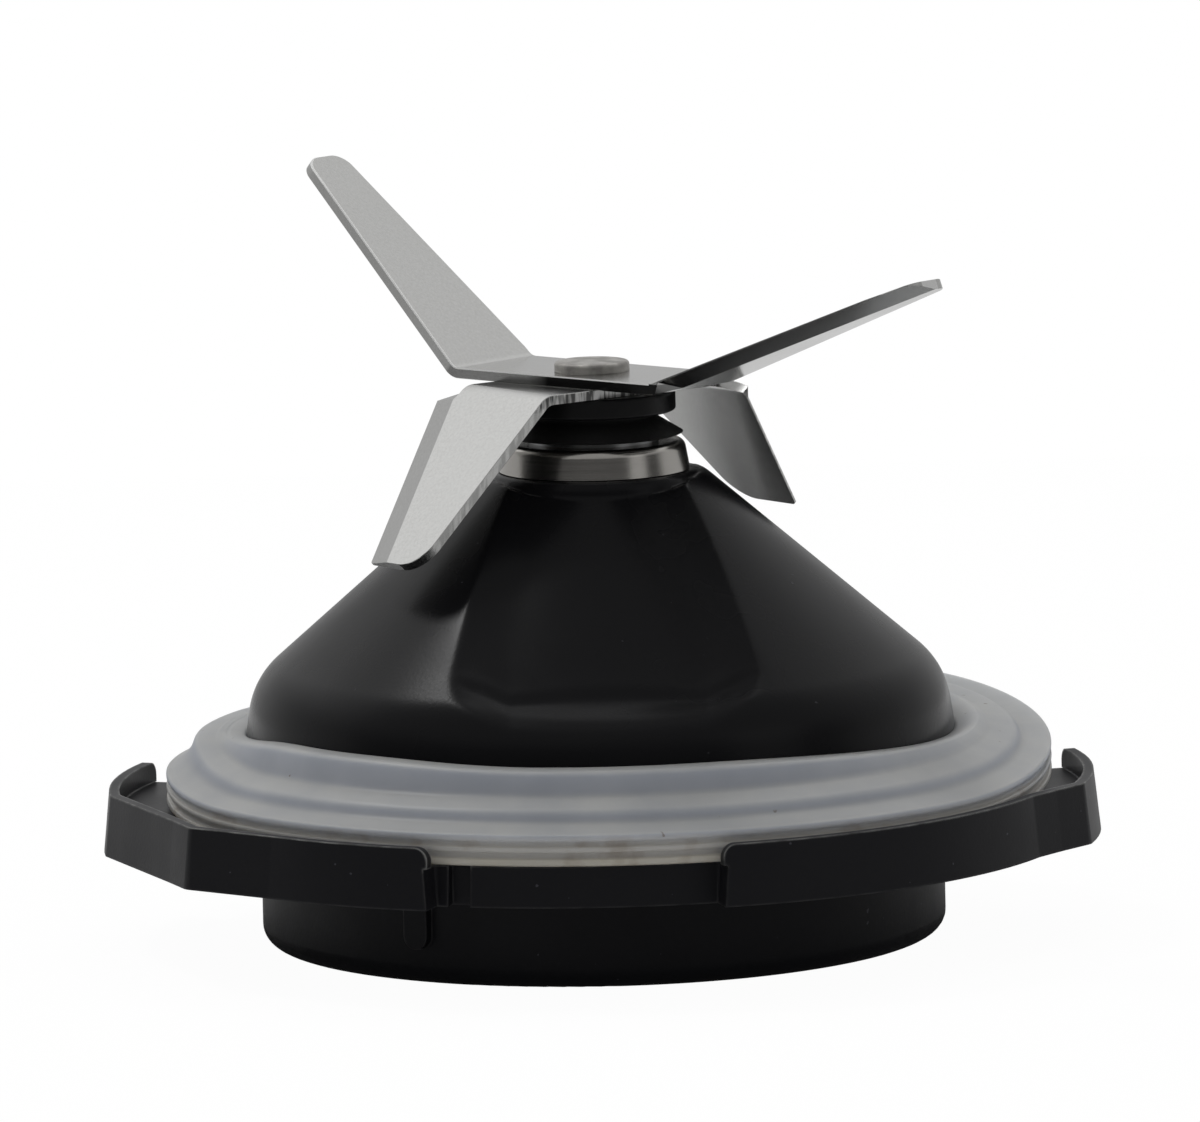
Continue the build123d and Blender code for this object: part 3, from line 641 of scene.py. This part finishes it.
def make_sheet_blade(name, node, blade):
    """Section of the sheet carried along both arms and the hub, and bent over arcs about the bend lines.

    A point at height w over the ground face and run s after a bend turned by angle f lies at
    x = bend + (inside radius + sheet - w) sin f + s cos f, and as far up or down by cos f and sin f.
    The attribute burr marks where a highlight is painted: the burr's faces on the upper blade's first arm, and at
    half strength the ends of both arms.
    """
    first, second = (arm_rows(blade, *arm) for arm in blade["arms"])
    rows = np.concatenate([first[::-1], second])
    way = np.concatenate([np.ones(len(first)), -np.ones(len(second))])[:, None]
    lead, trail, ground, burr = rows[:, 2], rows[:, 3], rows[:, 4], rows[:, 5]
    on_first = way[:, 0] > 0
    plus = sheet_side(np.where(on_first, trail, lead), np.where(on_first, 0.0, ground),
                      blade["bevel"], burr)
    minus = sheet_side(np.where(on_first, lead, trail), np.where(on_first, ground, 0.0),
                       blade["bevel"], 0.0 * burr)
    minus[..., 0] *= -1.0
    section = np.concatenate([plus, minus[:, ::-1]], axis=1)
    across, height = section[..., 0], section[..., 1]
    turn, run = rows[:, 0:1], rows[:, 1:2]
    arm = BEND_INSIDE + SHEET - height
    along = way * (blade["bend"] + arm * np.sin(turn) + run * np.cos(turn))
    rise = BEND_INSIDE + SHEET - arm * np.cos(turn) + run * np.sin(turn)
    level = rise if blade["sense"] > 0 else SHEET - rise
    angle = math.radians(blade["azimuth"] - 90.0)
    points = np.stack([along * math.cos(angle) - across * math.sin(angle),
                       along * math.sin(angle) + across * math.cos(angle), level + blade["bottom"]], axis=-1)
    if blade["sense"] < 0:
        points = points[:, ::-1]
    mesh = grid_mesh(name, points * MM, False, True)
    mesh.set_sharp_from_angle(angle=BLADE_SHARP)
    bright = np.zeros((len(rows) - 1, section.shape[1]), dtype=np.float32)
    if blade["burr"]:
        bright[:len(first), BURR_FACES] = 1.0
    # The arms' end faces get a painted highlight at half strength
    ends = np.full(2, TIP_END_PAINTED_HIGHLIGHT, dtype=np.float32)
    painted_highlight_faces = mesh.attributes.new("burr", "FLOAT", "FACE")
    painted_highlight_faces.data.foreach_set("value", np.concatenate([bright.ravel(), ends]))
    piece = add_piece(name, mesh, "rotor", "blade_steel")
    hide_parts(node)


def dress_nodes():
    """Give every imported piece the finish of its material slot."""
    for part in frame["record"]["subparts"]:
        mesh = nodes[part["node"]].data
        mesh.materials.clear()
        mesh.materials.append(finishes[part["material_slot"]])


LIGHT_AIM = Vector((0.0, 0.0, 0.03))


def studio_light(name, place, size, radiance):
    """Square soft light at a place, turned towards the part. Its power follows from brightness and area."""
    data = bpy.data.lights.new(name, "AREA")
    data.shape = "SQUARE"
    data.size = size
    data.energy = radiance * math.pi * size * size
    lamp = bpy.data.objects.new(name, data)
    lamp.location = place
    lamp.rotation_euler = (LIGHT_AIM - Vector(place)).to_track_quat("-Z", "Y").to_euler()
    scene.collection.objects.link(lamp)


# Floor: half its side, then how white it looks, and where and how much of that metal shows behind the part
FLOOR_HALF = 0.36
FLOOR_WHITE = 1.02
FLOOR_SHOWN = 0.95
FLOOR_BEHIND = (0.06, 0.16)
FLOOR_IN_METAL = 0.5


def make_floor():
    """Plain white floor: white to the camera, and to metal where it lies behind the part, with a faint shadow."""
    half = FLOOR_HALF
    corners = [(-half, -half, 0), (half, -half, 0), (half, half, 0), (-half, half, 0)]
    mesh = bpy.data.meshes.new("studio_floor")
    mesh.from_pydata(corners, [], [(0, 1, 2, 3)])
    floor = bpy.data.objects.new("studio_floor", mesh)
    scene.collection.objects.link(floor)
    finish = Finish("studio_floor", Base_Color=(0.85, 0.85, 0.85, 1.0), Roughness=1.0, Specular_IOR_Level=0.0)
    glow = finish.node("ShaderNodeEmission")
    glow.inputs["Strength"].default_value = FLOOR_WHITE
    rays = finish.node("ShaderNodeLightPath").outputs
    behind = finish.spread(finish.axes(finish.place)["Y"], within=FLOOR_BEHIND)
    either = finish.reckon("MAXIMUM", rays["Is Glossy Ray"], rays["Is Transmission Ray"])
    mirrored = finish.product(either, behind, FLOOR_IN_METAL)
    shown = finish.product(finish.reckon("MAXIMUM", rays["Is Camera Ray"], mirrored), FLOOR_SHOWN)
    mix = finish.node("ShaderNodeMixShader")
    finish.link(shown, mix.inputs["Fac"])
    finish.link(finish.shader.outputs["BSDF"], mix.inputs[1])
    finish.link(glow.outputs["Emission"], mix.inputs[2])
    finish.link(mix.outputs["Shader"], finish.tree.nodes["Material Output"].inputs["Surface"])
    mesh.materials.append(finish.material)


# Brightness of the surroundings: as metal shows them in front, overhead and behind, then as they
# light the part
FRONT_SHOWN = 0.03
OVERHEAD_SHOWN = 0.45
REAR_SHOWN = 0.54
REAR_RISE = 0.40
REAR_TILT = -0.26
FRONT_FILL = 0.36
REAR_FILL = 0.44
REAR_FILL_RISE = 0.50
CAMERA_WHITE = 1.0
# Where they change, as the share of a direction that points right, up, or to the rear and slightly down
RIGHTWARD, UPWARD, REARWARD = (1.0, 0.0, 0.0), (0.0, 0.0, 1.0), (0.0, 1.0, -0.35)
LEFT_TO_RIGHT = (-1.0, 1.0)
REAR_BRIGHTENS = (0.25, 0.62)
FRONT_BRIGHTENS = (0.12, 0.5)
FRONT_TO_REAR = (-0.18, 0.10)


def make_world():
    """Studio surroundings: white to the camera, pale behind the part in metal, dark low in front of it."""
    world = bpy.data.worlds.new("studio_world")
    scene.world = world
    world.use_nodes = True
    tree = world.node_tree
    place = tree.nodes.new("ShaderNodeTexCoord").outputs["Generated"]
    rays = tree.nodes.new("ShaderNodeLightPath").outputs

    def ranged(value, low, high, within=RISING, course="LINEAR"):
        """Map a value's range to one from low to high, each a socket or a number."""
        made = tree.nodes.new("ShaderNodeMapRange")
        made.interpolation_type = course
        tree.links.new(value, made.inputs["Value"])
        for socket, limit in zip(RANGE_SOCKETS, (*within, low, high)):
            if isinstance(limit, float):
                made.inputs[socket].default_value = limit
            else:
                tree.links.new(limit, made.inputs[socket])
        return made.outputs["Result"]

    def toward(direction):
        """Share of the view's direction that points along another."""
        made = tree.nodes.new("ShaderNodeVectorMath")
        made.operation = "DOT_PRODUCT"
        made.inputs[1].default_value = direction
        tree.links.new(place, made.inputs[0])
        return made.outputs["Value"]

    either = tree.nodes.new("ShaderNodeMath")
    either.operation = "MAXIMUM"
    tree.links.new(rays["Is Glossy Ray"], either.inputs[0])
    tree.links.new(rays["Is Transmission Ray"], either.inputs[1])
    mirrored = either.outputs["Value"]
    rear_top = REAR_SHOWN + REAR_RISE
    rear_high = ranged(toward(RIGHTWARD), rear_top - REAR_TILT, rear_top + REAR_TILT, LEFT_TO_RIGHT)
    rear_shown = ranged(toward(UPWARD), REAR_SHOWN, rear_high, REAR_BRIGHTENS, "SMOOTHSTEP")
    rear_fill = ranged(toward(UPWARD), REAR_FILL, REAR_FILL + REAR_FILL_RISE)
    rear = ranged(mirrored, rear_fill, rear_shown)
    front_shown = ranged(toward(UPWARD), FRONT_SHOWN, OVERHEAD_SHOWN, FRONT_BRIGHTENS, "SMOOTHSTEP")
    front = ranged(mirrored, FRONT_FILL, front_shown)
    screen = ranged(toward(REARWARD), front, rear, FRONT_TO_REAR, "SMOOTHSTEP")
    level = ranged(rays["Is Camera Ray"], screen, CAMERA_WHITE)
    background = tree.nodes["Background"]
    tree.links.new(level, background.inputs["Strength"])
    background.inputs["Color"].default_value = (1.0, 1.0, 1.0, 1.0)


make_camera()
dress_nodes()
make_cone()
make_gasket()
make_sheet_blade("upper_blade_sheet", "upper_blade", UPPER_BLADE)
make_sheet_blade("lower_blade_sheet", "lower_blade", LOWER_BLADE)
make_floor()
make_world()
studio_light("left_softbox", place=(-0.32, 0.17, 0.69), size=0.13, radiance=18.0)
studio_light("right_softbox", place=(0.62, -0.42, 0.22), size=0.30, radiance=0.5)
studio_light("rear_softbox", place=(0.20, 0.30, 0.70), size=0.13, radiance=5.0)
scene.view_settings.view_transform = "Standard"
